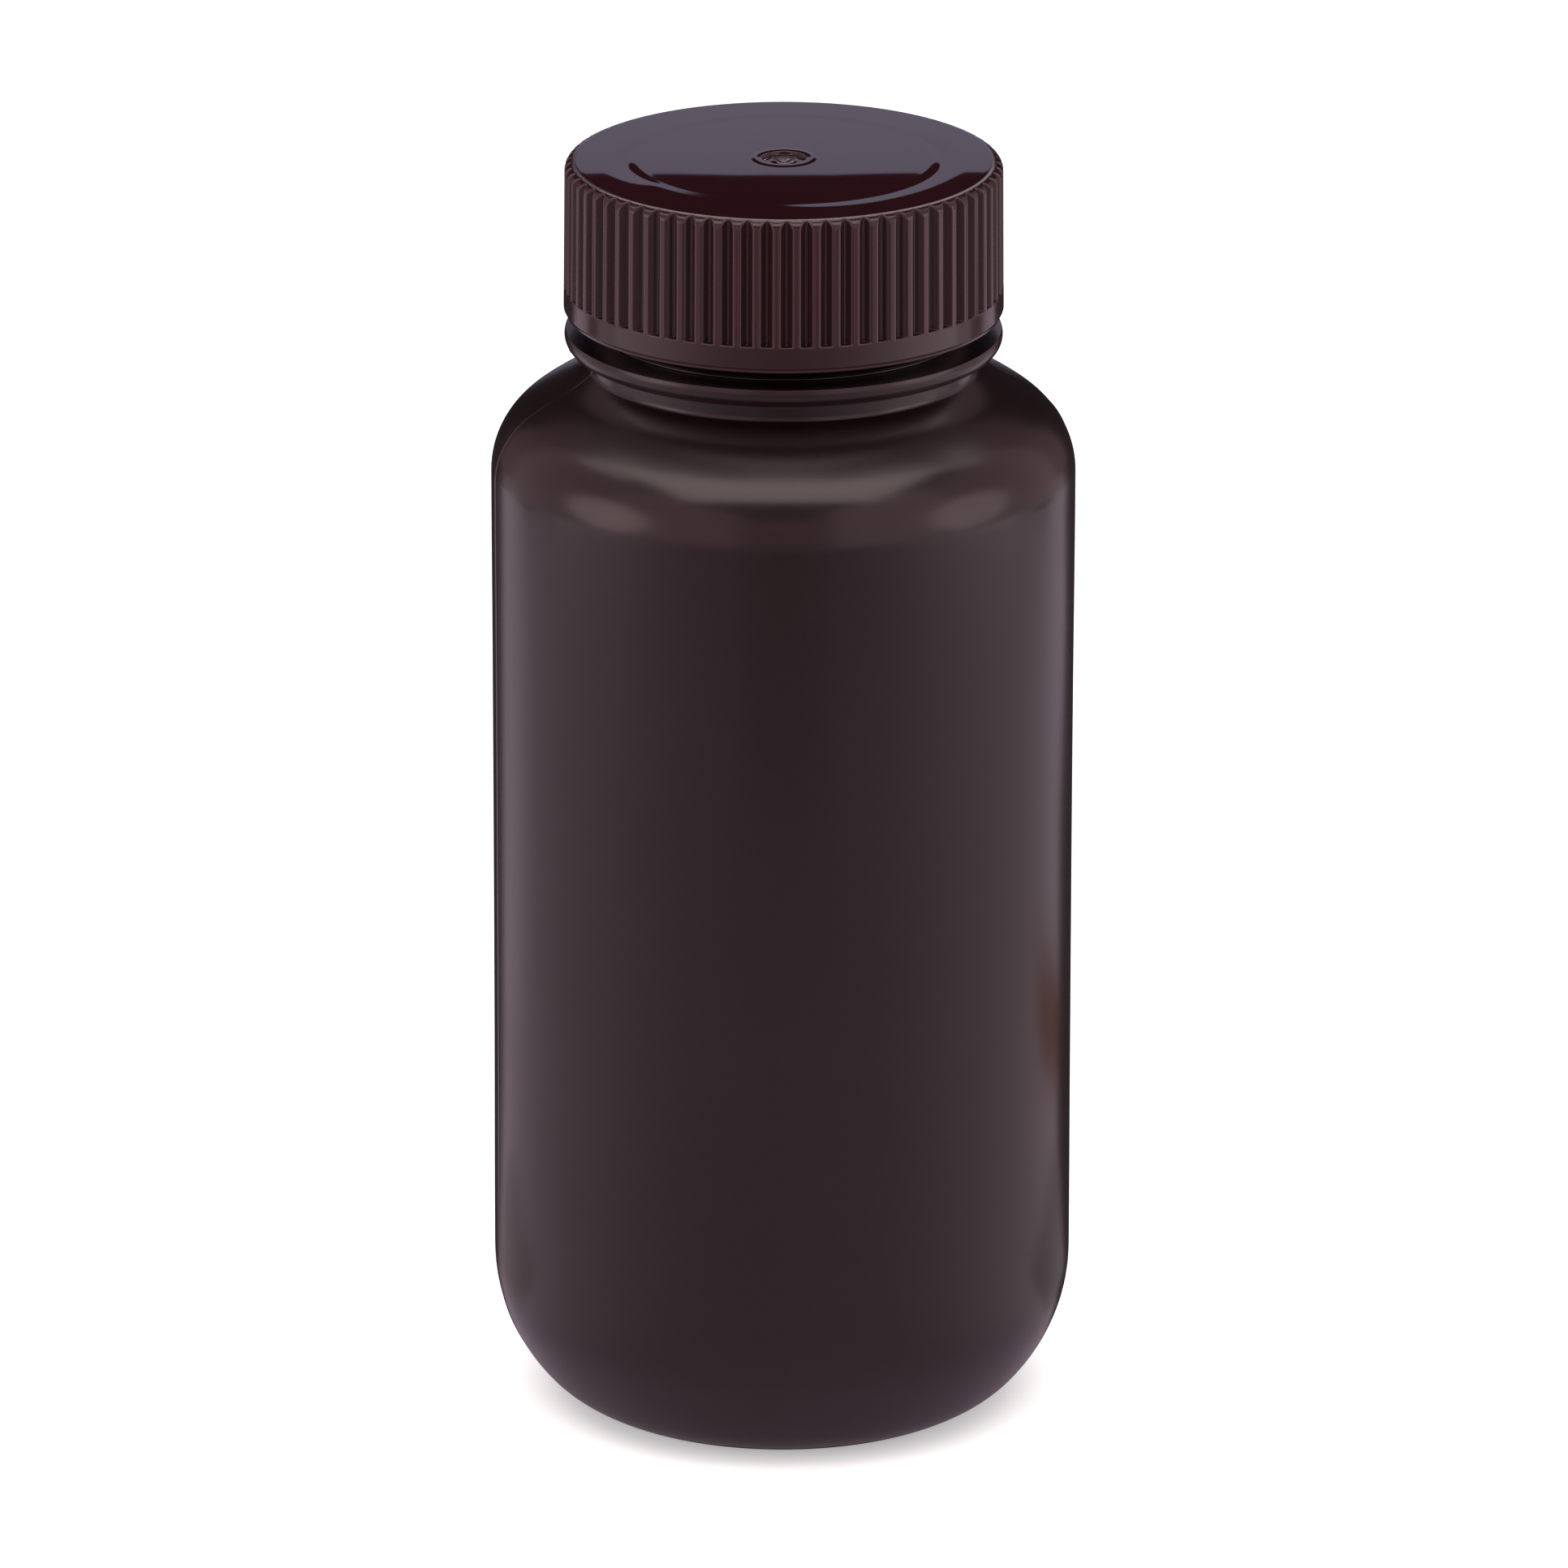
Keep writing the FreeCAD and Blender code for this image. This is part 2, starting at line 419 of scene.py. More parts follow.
def make_bottle(material):
    skin = Skin()
    columns = bottle_columns()
    neck, crown_end = neck_outline()
    outside = join_outlines(hull_outline(0, crown_end, 2), neck)
    inside_end = math.degrees(math.acos((mouth_radius - crown_centre[0]) / (crown_radius - body_wall)))
    inside = hull_outline(body_wall, inside_end, 1)[::-1]
    rings = [skin.pole(push_up)]
    rings += [skin.ring(columns, bottle_place(r, z, True)) for r, z in outside[1:]]
    rings += [skin.ring(columns, bottle_place(r, z, False)) for r, z in inside[:-1]]
    rings.append(skin.pole(inside[-1][1]))
    skin.chain(rings)
    return skin.make("bottle", [material])


# Cap: fine columns of points for the ribbed side, and coarser ones for the top and the inside

def cap_columns():
    """Angles round the ribbed side, close together where the ribs bend, and a coarser choice of them."""
    offsets = [math.degrees(across / cap_radius) for across in groove_columns]
    offsets = [-o for o in offsets[:0:-1]] + offsets + [groove_period / 2]
    fine = [front_angle + groove_period * i + o for i in range(groove_count) for o in offsets]
    return fine, fine[::coarse_step]


# Width and depth of the round at a rib's edge, down to the groove's side
rib_slope = math.radians(rib_wall)
round_width = rib_round * math.sin(rib_slope)
round_depth = rib_round * (1 - math.cos(rib_slope))


def from_crest(angle):
    """Distance along the skirt from the middle of the nearest rib."""
    return math.radians(abs((angle - front_angle) % groove_period - groove_period / 2)) * cap_radius


def rib_drop(angle):
    """Depth below the ribs' crests: a flat crest, a rounded edge, a steep side and a flat floor."""
    across = from_crest(angle) - rib_flat / 2
    if across <= 0:
        return 0.0
    if across < round_width:
        return rib_round - math.sqrt(rib_round ** 2 - across ** 2)
    return min(round_depth + (across - round_width) * math.tan(rib_slope), groove_depth)


def rib_reach(depth):
    """Distance from the middle of a rib at which the groove beside it has a depth."""
    if depth < round_depth:
        return rib_flat / 2 + math.sqrt(rib_round ** 2 - (rib_round - depth) ** 2)
    return rib_flat / 2 + round_width + (depth - round_depth) / math.tan(rib_slope)


def rib_edge_highlight(radius, height):
    """Marks the edges of the ribs, which close in an arch over each groove, for a painted highlight along
    them.
    """
    inset = max(cap_side(height) - radius, 0)
    middle = rib_reach(inset) + rib_highlight_width / 2

    def mark(angle):
        if groove_limit(height) < ledge_round:
            return 0.0
        return max(1 - abs(from_crest(angle) - middle) / rib_highlight_width, 0.0)

    return mark


def groove_limit(height):
    """Greatest depth at a height: none on the plain band, then a rounded edge and a steep ledge."""
    rise = height - groove_bottom
    if rise <= -ledge_round:
        return 0.0
    if rise < 0:
        return ledge_round - math.sqrt(ledge_round ** 2 - (rise + ledge_round) ** 2)
    return ledge_round + ledge_steepness * rise


edge_turn = math.sin(math.radians(cap_edge_change))
cap_edge_bottom = cap_shoulder - cap_edge_high * (1 - edge_turn) - cap_edge_low * edge_turn


def cap_side(height):
    """Radius of the cap's drafted side, which goes on upright past the rounded edge."""
    rise = min(height, cap_edge_bottom) - cap_bottom
    return cap_radius - rise * math.tan(math.radians(cap_draft))


def cap_side_place(radius, height):
    """The skirt's outline with the grip grooves cut into it."""
    crest = cap_side(height)
    blend = groove_softness + edge_softness * min((crest - radius) / edge_inset, 1)

    def place(angle):
        return soft_min(radius, crest - min(rib_drop(angle), groove_limit(height)), blend), height

    return place


def cap_side_outline():
    """From the lip over the plain band and up the grooves to the end of the rounded top edge."""
    low_centre = (cap_side(cap_edge_bottom) - cap_edge_low, cap_edge_bottom)
    high_centre = on_circle(low_centre, cap_edge_low - cap_edge_high, cap_edge_change)
    lip = cap_radius - lip_step
    lip_top = cap_bottom + lip_height
    band = lip_top + lip_step
    side = cap_side(band)
    soft = lip_softness
    ledge = [groove_bottom - ledge_round * share for share in ledge_below]
    ledge += [groove_bottom + rise for rise in ledge_above]
    return join_outlines(
        [(lip - 4 * soft, cap_bottom), (lip - soft, cap_bottom + soft), (lip, cap_bottom + 4 * soft)],
        [(lip, lip_top - 2 * soft), (lip + band_softness, lip_top - soft)],
        [(side - band_softness, band - 2 * band_softness), (side, band), (side, band + 2 * band_softness)],
        [(cap_side(height), height) for height in ledge],
        line((cap_side(ledge[-1]), ledge[-1]), (cap_side(cap_edge_bottom), cap_edge_bottom), 4),
        arc(low_centre, cap_edge_low, 0, cap_edge_change, 16),
        arc(high_centre, cap_edge_high, cap_edge_change, 90, 10),
    )


def cap_top_outline(edge):
    """From the skirt's rounded edge over the raised panel to the gate mark in the middle."""
    edge_radius, edge_height = edge
    panel_foot = panel_radius + panel_step
    foot_height = edge_height + ring_slope * (edge_radius - panel_foot)
    panel_height = edge_height + panel_rise - panel_dome
    points = line(edge, (panel_foot, foot_height), 14)[1:]
    points += line((panel_foot, foot_height), (panel_radius, panel_height), 12)[1:]
    gate_outer = gate_radius + gate_ring_width
    for r in spaced(panel_radius, gate_outer + gate_margin, 16)[1:]:
        points.append((r, edge_height + panel_rise - panel_dome * (r / panel_radius) ** 2))
    top = points[-1][1]
    for share in spaced(0, 1, 12):
        rise = gate_ring_rise * math.sin(math.pi * share) ** 2
        points.append((gate_outer - gate_ring_width * share, top + rise))
    well = top - gate_depth
    pin = well + gate_pin_height
    soft = gate_softness
    points += [
        (gate_radius - soft, top - soft),
        (gate_radius - 2 * soft, well + soft),
        (gate_radius - 4 * soft, well),
        (gate_pin_radius + 2 * soft, well),
        (gate_pin_radius, well + soft),
        (gate_pin_radius - soft, pin - soft),
        (gate_pin_radius - 3 * soft, pin),
    ]
    return points


def cap_top_place(radius, height):
    """The top's outline with the hollow round the panel, which is deepest at the right and at the left."""
    beyond = radius - panel_radius - panel_step
    dip = hollow_depth * smooth(1 + beyond / panel_step)
    if beyond > 0:
        dip = hollow_depth * max(1 - beyond / hollow_reach, 0) ** 2
    begin, full, still_full, end = hollow_right

    def place(angle):
        right = angle_from(angle, 0)
        left = abs(angle_from(angle, hollow_left))
        at_right = smooth((right - begin) / (full - begin)) * smooth((end - right) / (end - still_full))
        at_left = smooth((hollow_left_half - left) / hollow_left_fade)
        return radius, height - dip * max(at_right, at_left)

    return place


def cap_inside_outline():
    """From the lower edge up the bore and the disc's seat to the middle of the top plate."""
    bore_bottom = cap_bottom + bore_chamfer
    bore_top = seat_bottom - bore_radius + seat_radius
    return join_outlines(
        line((bore_radius + bore_chamfer, cap_bottom), (bore_radius, bore_bottom), 2),
        line((bore_radius, bore_bottom), (bore_radius, bore_top), 40),
        line((bore_radius, bore_top), (seat_radius, seat_bottom), 2),
        line((seat_radius, seat_bottom), (seat_radius, plate_bottom), 3),
        line((seat_radius, plate_bottom), (cap_plate_hub, plate_bottom), 6),
    )


def cap_inside_place(radius, height):
    """The inside's outline with the thread on its bore."""
    if abs(radius - bore_radius) > SAME:
        return plain(radius, height)
    start = thread_start - thread_play
    return lambda angle: (radius - thread_depth * thread_rise(angle, height, start), height)


def make_cap(side_material, top_material):
    skin = Skin()
    fine, coarse = cap_columns()
    side = cap_side_outline()
    side_rings = [skin.ring(fine, cap_side_place(r, z), rib_edge_highlight(r, z)) for r, z in side]
    top = cap_top_outline(side[-1])
    top_rings = [skin.ring(coarse, cap_top_place(r, z)) for r, z in top]
    top_rings.append(skin.pole(top[-1][1] + gate_pin_crown))
    inside_rings = [skin.ring(coarse, cap_inside_place(r, z)) for r, z in cap_inside_outline()]
    inside_rings.append(skin.pole(plate_bottom))
    skin.chain(side_rings[:-1], 0)
    skin.chain(side_rings[-2:], 1)
    skin.join(side_rings[-1], top_rings[0], 1)
    skin.chain(top_rings, 1)
    skin.chain(inside_rings[::-1], 0)
    skin.join(inside_rings[0], side_rings[0], 0)
    return skin.make("cap", [side_material, top_material])


def make_disc(material):
    skin = Skin()
    columns = [360 / disc_columns * i for i in range(disc_columns)]
    flat = disc_radius - disc_edge
    outline = join_outlines(
        line((disc_hub, rim), (flat, rim), 6),
        arc((flat, rim + disc_edge), disc_edge, -90, 0, 4),
        arc((flat, plate_bottom - disc_edge), disc_edge, 0, 90, 4),
        line((flat, plate_bottom), (disc_hub, plate_bottom), 6),
    )
    rings = [skin.pole(rim)]
    rings += [skin.ring(columns, plain(r, z)) for r, z in outline]
    rings.append(skin.pole(plate_bottom))
    skin.chain(rings)
    return skin.make("liner", [material])


# Materials

noise_middle = (0.3, 0.7)    # where most of a noise's values lie


def new_material(name):
    material = bpy.data.materials.new(name)
    material.use_nodes = True
    nodes = material.node_tree.nodes
    return material, nodes, material.node_tree.links, nodes["Principled BSDF"]


def object_place(nodes):
    return nodes.new("ShaderNodeTexCoord").outputs["Object"]


def noise(nodes, links, scale, detail):
    texture = nodes.new("ShaderNodeTexNoise")
    texture.inputs["Scale"].default_value = scale
    texture.inputs["Detail"].default_value = detail
    links.new(object_place(nodes), texture.inputs["Vector"])
    return texture.outputs["Fac"]


def map_range(nodes, links, value, source, target, kind="LINEAR"):
    """Maps one range of values to another, and stops at its ends."""
    node = nodes.new("ShaderNodeMapRange")
    node.interpolation_type = kind
    for name, limit in zip(("From Min", "From Max", "To Min", "To Max"), (*source, *target)):
        node.inputs[name].default_value = limit
    links.new(value, node.inputs["Value"])
    return node.outputs["Result"]


def calculate(nodes, links, operation, *values):
    """Math node. Each value is a number or another node's output."""
    node = nodes.new("ShaderNodeMath")
    node.operation = operation
    for socket, value in zip(node.inputs, values):
        if isinstance(value, (int, float)):
            socket.default_value = value
        else:
            links.new(value, socket)
    return node.outputs["Value"]


def mix_colours(nodes, links, share, first, second):
    """Goes from the first colour to the second. Each is a tuple or another node's output."""
    node = nodes.new("ShaderNodeMix")
    node.data_type = "RGBA"
    links.new(share, node.inputs["Factor"])
    for name, colour in (("A", first), ("B", second)):
        if isinstance(colour, tuple):
            node.inputs[name].default_value = (*colour, 1)
        else:
            links.new(colour, node.inputs[name])
    return node.outputs["Result"]


def bumps(nodes, links, shader, height, size):
    """Unevenness of a size in millimetres."""
    node = nodes.new("ShaderNodeBump")
    node.inputs["Strength"].default_value = 1.0
    node.inputs["Distance"].default_value = size * MM
    links.new(height, node.inputs["Height"])
    links.new(node.outputs["Normal"], shader.inputs["Normal"])


def scaled(colour, factor):
    return tuple(c * factor for c in colour)


def plastic(name, colour, roughness, grain, grain_height, edge_highlight_gain=0):
    """Moulded plastic: a faint cloudiness in the colour, and a fine grain in the gloss and the surface.

    The edges marked on the mesh get a painted highlight: a colour lighter by the edge gain.
    """
    cloudiness = 0.06
    cloud_scale = 70
    gloss_spread = 0.08
    material, nodes, links, shader = new_material(name)
    cloud = map_range(nodes, links, noise(nodes, links, cloud_scale, 3), noise_middle, (0, 1))
    clouded = mix_colours(nodes, links, cloud, scaled(colour, 1 - cloudiness), scaled(colour, 1 + cloudiness))
    # Painted highlight: a lighter colour where the edge attribute marks a rib's edge
    edge = nodes.new("ShaderNodeAttribute")
    edge.attribute_name = "edge"
    lit = mix_colours(nodes, links, edge.outputs["Fac"], clouded, scaled(colour, 1 + edge_highlight_gain))
    links.new(lit, shader.inputs["Base Color"])
    fine = noise(nodes, links, grain, 2)
    gloss = (roughness * (1 - gloss_spread), roughness * (1 + gloss_spread))
    links.new(map_range(nodes, links, fine, noise_middle, gloss), shader.inputs["Roughness"])
    bumps(nodes, links, shader, fine, grain_height)
    return material


def foam(name, colour):
    """Closed-cell foam sheet: fine bubbles in the surface."""
    cell_scale = 1400
    cell_shade = 0.86
    cell_depth = 0.05
    material, nodes, links, shader = new_material(name)
    cells = nodes.new("ShaderNodeTexVoronoi")
    cells.inputs["Scale"].default_value = cell_scale
    links.new(object_place(nodes), cells.inputs["Vector"])
    distance = cells.outputs["Distance"]
    shaded = mix_colours(nodes, links, distance, scaled(colour, cell_shade), colour)
    links.new(shaded, shader.inputs["Base Color"])
    shader.inputs["Roughness"].default_value = 0.75
    bumps(nodes, links, shader, distance, cell_depth)
    return material


bottle_brown = (0.0100, 0.0034, 0.0042)
cap_brown = (0.0225, 0.0080, 0.0092)
bottle_plastic = plastic("bottle_satin", bottle_brown, roughness=0.235, grain=2600, grain_height=0.003)
# The cap's side paints a highlight along the ribs' edges
cap_side_plastic = plastic("cap_satin", cap_brown, roughness=0.17, grain=900, grain_height=0.0002,
                           edge_highlight_gain=1.6)
cap_top_plastic = plastic("cap_gloss", cap_brown, roughness=0.02, grain=300, grain_height=0.0002)
liner_foam = foam("liner_foam", (0.78, 0.78, 0.75))

bottle = make_bottle(bottle_plastic)
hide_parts("bottle_body")
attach(bottle, "bottle")

cap = make_cap(cap_side_plastic, cap_top_plastic)
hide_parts("screw_cap")
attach(cap, "closure")

liner = make_disc(liner_foam)
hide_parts("sealing_disc")
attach(liner, "seal")


# Stage, in metres: a white floor that keeps the shadow, with painted shadow added round the bottle's foot,
# and cards that only reflections see

floor_half = 10.0
floor_shade = (0.022, 0.040)     # distances from the bottle's axis over which the floor's painted shadow round the foot fades out
floor_glow = (0.3, 0.9)
foot_shade = (0.024, 0.042)      # and over which the level cards' painted shade round the foot fades out
foot_dimming = (0.35, 1.0)
front_distances = (0.040, 0.076)     # a card's front radiance gives way to its own between these distances, and is painted shade round the foot
front_bearings = (20, 85)        # and between these bearings, in degrees from straight ahead


def sheet(name, corners, faces, material):
    mesh = bpy.data.meshes.new(name)
    mesh.from_pydata(corners, [], faces)
    mesh.materials.append(material)
    obj = bpy.data.objects.new(name, mesh)
    bpy.context.scene.collection.objects.link(obj)
    return obj


def by_bearing(nodes, links, bearings):
    """Goes from 0 to 1 between two bearings, in degrees from straight ahead of the bottle to either side."""
    apart = nodes.new("ShaderNodeSeparateXYZ")
    links.new(object_place(nodes), apart.inputs["Vector"])
    aside = calculate(nodes, links, "ABSOLUTE", apart.outputs["X"])
    ahead = calculate(nodes, links, "MULTIPLY", apart.outputs["Y"], -1)
    bearing = calculate(nodes, links, "ARCTAN2", aside, ahead)
    return map_range(nodes, links, bearing, [math.radians(b) for b in bearings], (0, 1), "SMOOTHSTEP")


def by_distance(nodes, links, distances, values):
    """Goes from one value to another between two distances from the bottle's axis."""
    length = nodes.new("ShaderNodeVectorMath")
    length.operation = "LENGTH"
    links.new(object_place(nodes), length.inputs[0])
    return map_range(nodes, links, length.outputs["Value"], distances, values, "SMOOTHSTEP")


def floor_material():
    """White floor that glows softly, and less so close round the bottle's foot, which paints a shadow there
    on top of the real one.
    """
    material, nodes, links, shader = new_material("floor_white")
    shader.inputs["Base Color"].default_value = (0.9, 0.9, 0.9, 1)
    shader.inputs["Roughness"].default_value = 1.0
    shader.inputs["Specular IOR Level"].default_value = 0
    shader.inputs["Emission Color"].default_value = (1, 1, 1, 1)
    # Painted shadow: the glow is dimmer close round the foot
    links.new(by_distance(nodes, links, floor_shade, floor_glow), shader.inputs["Emission Strength"])
    return material


def glow_material(name, radiance):
    material, nodes, links, shader = new_material(name)
    nodes.remove(shader)
    glow = nodes.new("ShaderNodeEmission")
    glow.inputs["Color"].default_value = (*radiance, 1)
    links.new(glow.outputs["Emission"], nodes["Material Output"].inputs["Surface"])
    return material, nodes, links, glow


def card(name, corners, faces, material):
    """Card that is seen only in reflections."""
    obj = sheet(name, corners, faces, material)
    obj.visible_camera = False
    obj.visible_diffuse = False
    obj.visible_shadow = False
    obj.visible_transmission = False


def level_card(name, outline, height, radiance, front_radiance=None):
    """Card that lies level, with painted shade that darkens it close to the bottle's axis.

    A front radiance is what it goes over to towards the front of the bottle, and round its foot as painted
    shade.
    """
    material, nodes, links, glow = glow_material(name, radiance)
    # Painted shade: dimmer close round the foot
    links.new(by_distance(nodes, links, foot_shade, foot_dimming), glow.inputs["Strength"])
    if front_radiance is not None:
        bearing = by_bearing(nodes, links, front_bearings)
        distance = by_distance(nodes, links, front_distances, (0, 1))
        share = calculate(nodes, links, "MULTIPLY", bearing, distance)
        links.new(mix_colours(nodes, links, share, front_radiance, radiance), glow.inputs["Color"])
    card(name, [(x, y, height) for x, y in outline], [list(range(len(outline)))], material)


def fence(name, plan, bottom, top, radiance):
    """Upright card along a line on the floor plan."""
    corners = [(x, y, z) for x, y in plan for z in (bottom, top)]
    faces = [(2 * i, 2 * i + 2, 2 * i + 3, 2 * i + 1) for i in range(len(plan) - 1)]
    card(name, corners, faces, glow_material(name, radiance)[0])


def fence_pair(name, plan, left_top, left_radiance, right_top, right_radiance):
    """Two fences up from the floor, at the right along the plan and at the left along its mirror image."""
    fence(name + "_left", [(-x, y) for x, y in plan], 0, left_top, left_radiance)
    fence(name + "_right", plan, 0, right_top, right_radiance)


def rectangle(x, y):
    return [(x[0], y[0]), (x[1], y[0]), (x[1], y[1]), (x[0], y[1])]


def sector(start, end, near, far):
    """Part of a ring round the bottle between two bearings, in degrees from straight ahead."""
    bearings = [math.radians(bearing) for bearing in spaced(start, end, 4)]
    inner = [(near * math.sin(b), -near * math.cos(b)) for b in bearings]
    outer = [(far * math.sin(b), -far * math.cos(b)) for b in bearings]
    return outer + inner[::-1]


floor_sides = (-floor_half, floor_half)
sheet("floor", [(x, y, 0) for x, y in rectangle(floor_sides, floor_sides)], [(0, 1, 2, 3)], floor_material())

# Lit areas of a dark table, in layers one above the other, and patches of painted shade close round the foot
ground, first_layer, second_layer, third_layer = 0.0005, 0.001, 0.0015, 0.002
left_part = [(0, 0), (-0.03, 0), (-0.07, 0.06), (-0.163, 0.192), (-0.215, 0.275), (-0.363, 0.262),
             (-0.4, 0.19), (-0.9, 0.2), (-0.9, -1.5), (0, -1.5)]
right_part = [(0, -1.5), (0.9, -1.5), (0.9, 0.2), (0.4, 0.19), (0.328, 0.302), (0.205, 0.28),
              (0.178, 0.18), (0.082, 0.05), (0.03, 0), (0, 0)]
left_rear = [(-0.12, 0.13), (-0.163, 0.192), (-0.3, 0.385), (-0.5, 0.36), (-0.36, 0.2), (-0.16, 0.08)]
right_rear = [(0.15, 0.08), (0.36, 0.2), (0.47, 0.4), (0.29, 0.39), (0.178, 0.18), (0.13, 0.115)]
# Patches of painted shade close round the foot at the rear sides
left_near_shade = [(-0.045, 0.005), (-0.08, 0.005), (-0.1, 0.055), (-0.083, 0.062), (-0.055, 0.034)]
right_near_shade = [(0.045, 0.005), (0.055, 0.034), (0.083, 0.062), (0.1, 0.055), (0.08, 0.005)]
right_patch = [(0.163, 0.06), (0.18, 0.078), (0.155, 0.112), (0.129, 0.114), (0.113, 0.097), (0.113, 0.078),
               (0.138, 0.062)]
left_far = sector(-98, 0, 0.45, 0.75)
right_far = sector(0, 100, 0.45, 0.75)
left_back = sector(-140, -98, 0.55, 1.1)
right_back = sector(100, 140, 0.55, 1.1)
front = rectangle((-0.1, 0.1), (-1.5, -0.31))
level_card("table_dark", rectangle((-3, 3), (-3, 3)), ground, (0.03, 0.024, 0.027))
level_card("table_left", left_part, first_layer, (0.72, 0.57, 0.655), (0.48, 0.37, 0.445))
level_card("table_right", right_part, first_layer, (0.79, 0.62, 0.70), (0.49, 0.375, 0.455))
level_card("table_left_rear", left_rear, second_layer, (0.83, 0.68, 0.78))
level_card("table_right_rear", right_rear, second_layer, (0.79, 0.65, 0.74))
level_card("table_left_far", left_far, second_layer, (1.15, 0.9, 0.96), (0.25, 0.2, 0.22))
level_card("table_right_far", right_far, second_layer, (1.5, 1.18, 1.25), (0.27, 0.21, 0.23))
level_card("table_front", front, third_layer, (0.27, 0.18, 0.2))
# Painted shade close round the foot
level_card("table_left_near_shade", left_near_shade, third_layer, (0.44, 0.35, 0.39))
level_card("table_right_near_shade", right_near_shade, third_layer, (0.39, 0.31, 0.34))
level_card("table_right_patch", right_patch, third_layer, (0.36, 0.15, 0.09))
level_card("table_left_back", left_back, second_layer, (0.62, 0.48, 0.53))
level_card("table_right_back", right_back, second_layer, (0.65, 0.5, 0.55))

# Walls. The plan's corners are those of the right half, from the front to the back.
back = 0.8
wall_corner = (0.4, -1.2)
side_corner = (0.95, -0.25)
side_end = (0.95, 0.5)
bevel_start = (0.78, 0.69)
bevel_end = (0.68, back)
back_corner = (0.52, back)
front_plan = [(-wall_corner[0], wall_corner[1]), wall_corner]
side_plan = [side_corner, side_end, bevel_start]
bevel_plan = [back_corner, bevel_end, bevel_start]
front_middle, front_top = 0.45, 0.9
side_top = 1.15
fence_pair("wall", [wall_corner, side_corner], 1.1, (0.95, 0.6, 0.66), 1.25, (1.05, 0.74, 0.79))
fence("wall_front", front_plan, 0, front_middle, (0.56, 0.36, 0.39))
fence("wall_front_high", front_plan, front_middle, front_top, (0.62, 0.4, 0.43))
fence_pair("side", side_plan, side_top, (0.66, 0.45, 0.49), side_top, (0.73, 0.5, 0.54))
fence_pair("corner", bevel_plan, side_top, (0.3, 0.19, 0.21), side_top, (0.32, 0.2, 0.22))

# Back wall: a grey card, a dark flag before its upper part, a spot at each end of that, and a slope above it
flag_bottom = 0.4155
flag_lean = 0.05
flag_sag = 3.0                   # the flag's lower edge falls away to the sides
flag_side = 0.13
flag_top = 0.62
flag_place = 0.795
spot_place = 0.79
dark_top = 2.0
back_dark = (0.02, 0.016, 0.018)
flag_corners = [(x, flag_place, flag_bottom + flag_lean * x - flag_sag * x ** 2)
                for x in spaced(-flag_side, flag_side, 12)]
flag_corners += [(flag_side, flag_place, flag_top), (-flag_side, flag_place, flag_top)]
slope_corners = [(-0.25, spot_place, flag_top), (0.25, spot_place, flag_top)]
slope_corners += [(0.1, 0.2, 1.09), (-0.1, 0.2, 1.09)]
fence("back_grey", [(-flag_side, back), (flag_side, back)], 0, flag_top, (0.38, 0.355, 0.48))
card("back_flag", flag_corners, [list(range(len(flag_corners)))],
     glow_material("back_flag", (0.025, 0.006, 0.012))[0])
fence("back_spot_left", [(-0.22, spot_place), (-0.1, spot_place)], flag_bottom, flag_top, (0.5, 0.44, 0.5))
fence("back_spot_right", [(0.08, spot_place), (0.2, spot_place)], flag_bottom, 0.7, (1.2, 1.05, 1.2))
fence_pair("back", [(flag_side, back), back_corner], dark_top, back_dark, dark_top, back_dark)
card("back_high", slope_corners, [(0, 1, 2, 3)], glow_material("back_high", (2.1, 1.66, 1.72))[0])

# Overhead: a large lamp in front, and a card to each side of it
overhead = 1.2
overhead_radiance = (2.5, 1.98, 1.95)
level_card("overhead_left", [(-0.24, 0), (-0.78, 0), (-0.78, 0.42)], overhead, overhead_radiance)
level_card("overhead_right", [(0.24, 0), (0.72, 0.38), (0.72, 0)], overhead, overhead_radiance)


def softbox(name, shape, place, aim, size, radiance, tint):
    """Area lamp of a given brightness of face."""
    width, height = size
    lamp = bpy.data.lights.new(name, "AREA")
    lamp.shape = shape
    lamp.size = width
    lamp.size_y = height
    lamp.energy = radiance * math.pi * width * height * (math.pi / 4 if shape == "ELLIPSE" else 1)
    lamp.color = tint
    obj = bpy.data.objects.new(name, lamp)
    obj.location = place
    obj.rotation_euler = (Vector(aim) - Vector(place)).to_track_quat("-Z", "Y").to_euler()
    obj.visible_camera = False
    bpy.context.scene.collection.objects.link(obj)


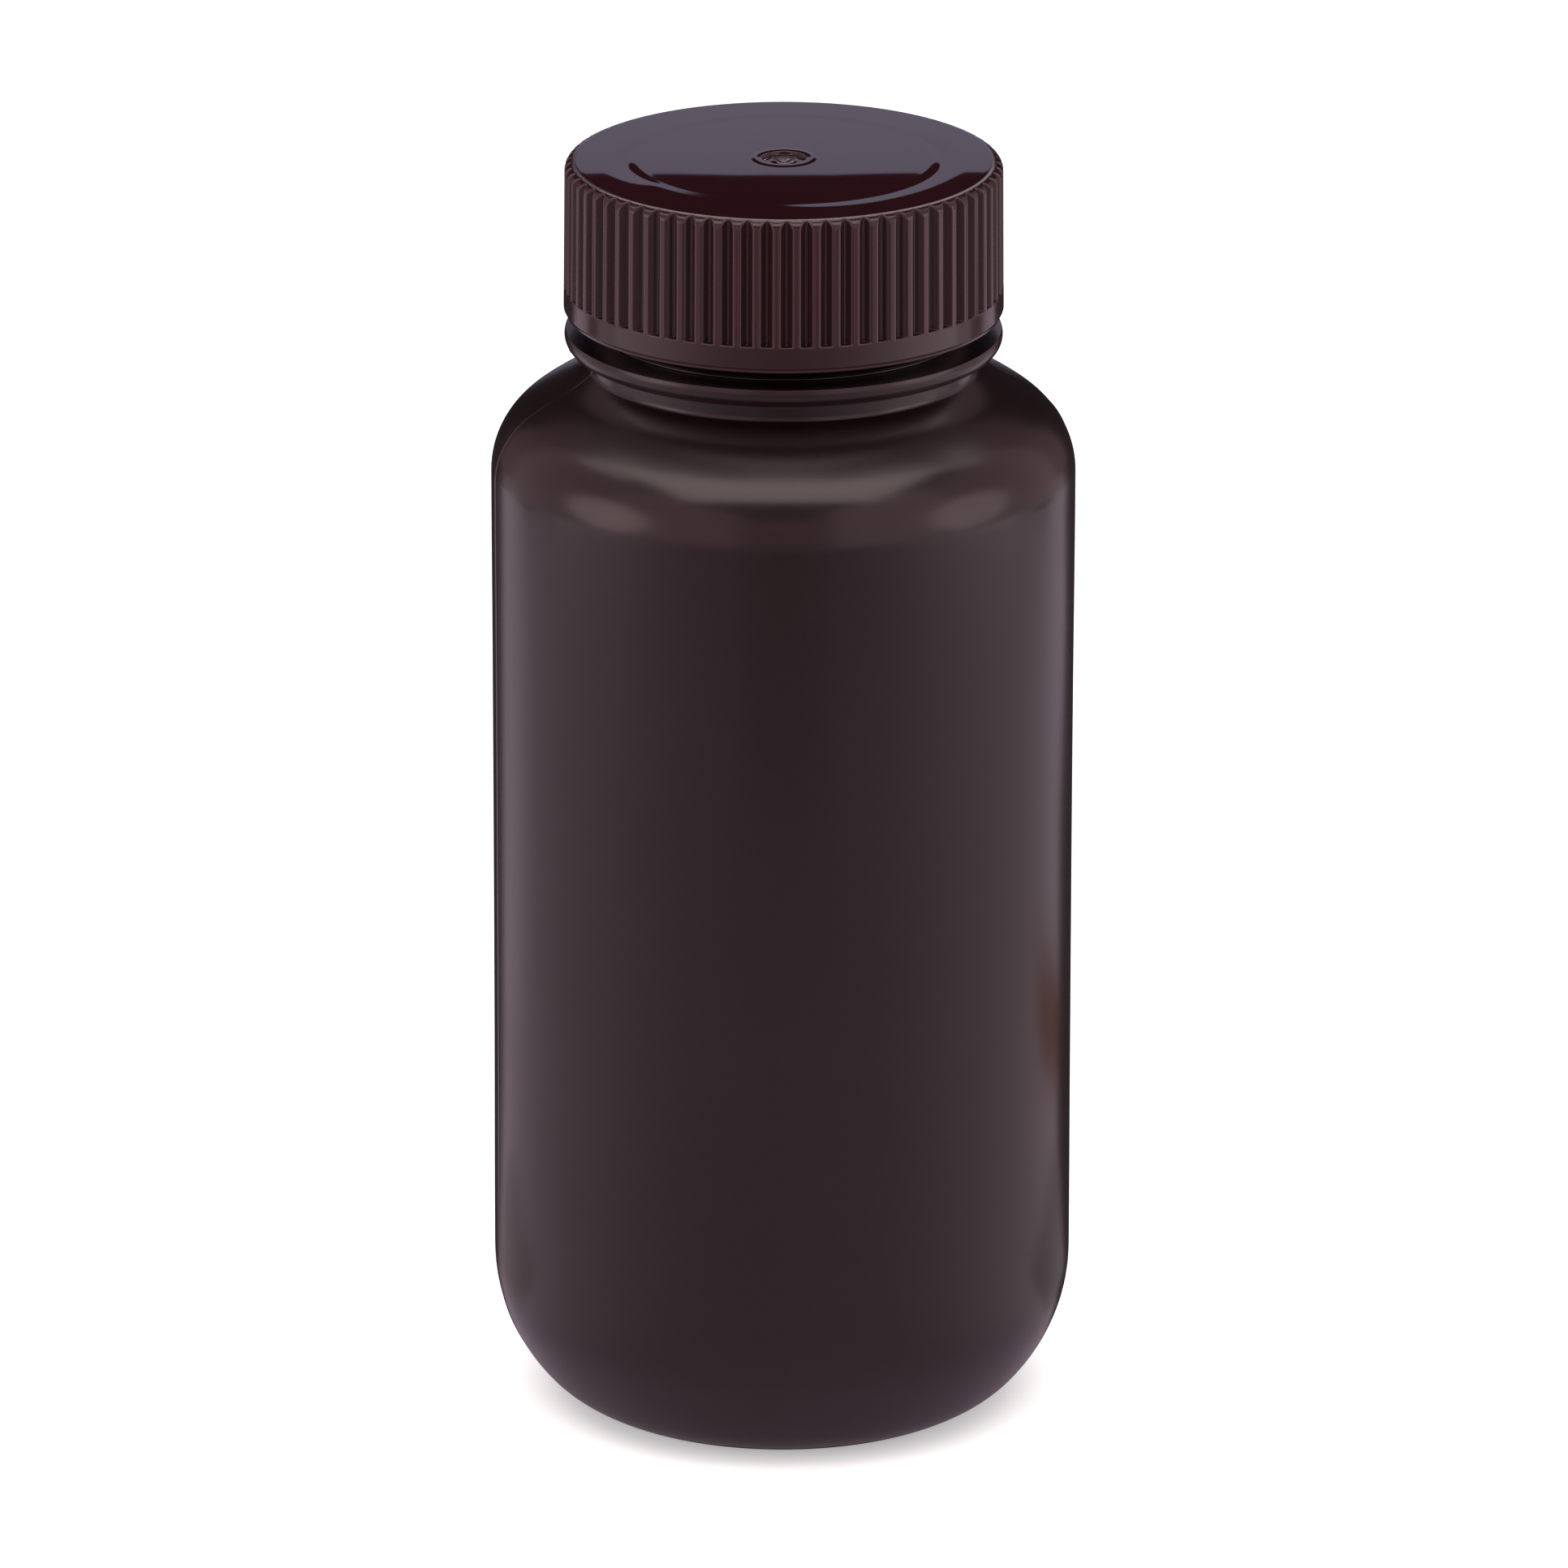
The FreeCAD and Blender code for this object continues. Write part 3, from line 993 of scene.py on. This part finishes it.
above, below = (-0.03, -0.345, overhead), (-0.03, -0.345, 0)
neck_aim, wall_aim = (0, 0, 0.13), (0, 0, 0.12)
softbox("overhead", "RECTANGLE", above, below, (1.5, 0.69), 2.65, (1.0, 0.79, 0.78))
softbox("top_left", "ELLIPSE", (-0.87, 0.29, 1.15), neck_aim, (0.58, 0.58), 1.5, (1.0, 0.79, 0.8))
softbox("top_right", "ELLIPSE", (0.87, 0.52, 1.15), neck_aim, (0.42, 0.42), 1.3, (1.0, 0.79, 0.8))
softbox("left", "ELLIPSE", (-0.72, -0.22, 0.24), wall_aim, (0.52, 0.42), 1.45, (1.0, 0.8, 0.8))
softbox("right", "ELLIPSE", (0.73, -0.17, 0.26), wall_aim, (0.52, 0.46), 1.2, (1.0, 0.8, 0.82))

world = bpy.data.worlds.new("studio")
bpy.context.scene.world = world
world.use_nodes = True
background = world.node_tree.nodes["Background"]
background.inputs["Color"].default_value = (1.0, 0.88, 0.92, 1)
background.inputs["Strength"].default_value = 0.2


# Camera: a long lens, a little to the left of the front

def make_camera():
    elevation = math.radians(18.83)
    azimuth = math.radians(-0.77)
    roll = math.radians(0.11)
    distance = 1836.0 * MM
    focal_pixels = 17498.6
    frame_pixels = 1932
    shift_pixels = (1.5, -3.1)
    pivot = Vector((0, 0, 82.5 * MM))
    towards = Vector((math.sin(azimuth) * math.cos(elevation), -math.cos(azimuth) * math.cos(elevation),
                      math.sin(elevation)))
    lens = bpy.data.cameras.new("camera")
    lens.sensor_width = 36
    lens.lens = focal_pixels / frame_pixels * lens.sensor_width
    obj = bpy.data.objects.new("camera", lens)
    obj.location = pivot + towards * distance
    turn = (-towards).to_track_quat("-Z", "Y")
    pixel = distance / focal_pixels
    aim = pivot + turn @ Vector((shift_pixels[0] * pixel, shift_pixels[1] * pixel, 0))
    turn = (aim - obj.location).to_track_quat("-Z", "Y")
    obj.rotation_euler = turn.to_euler()
    obj.rotation_euler.rotate_axis("Z", roll)
    bpy.context.scene.collection.objects.link(obj)
    bpy.context.scene.camera = obj


make_camera()
bpy.context.scene.view_settings.view_transform = "Standard"
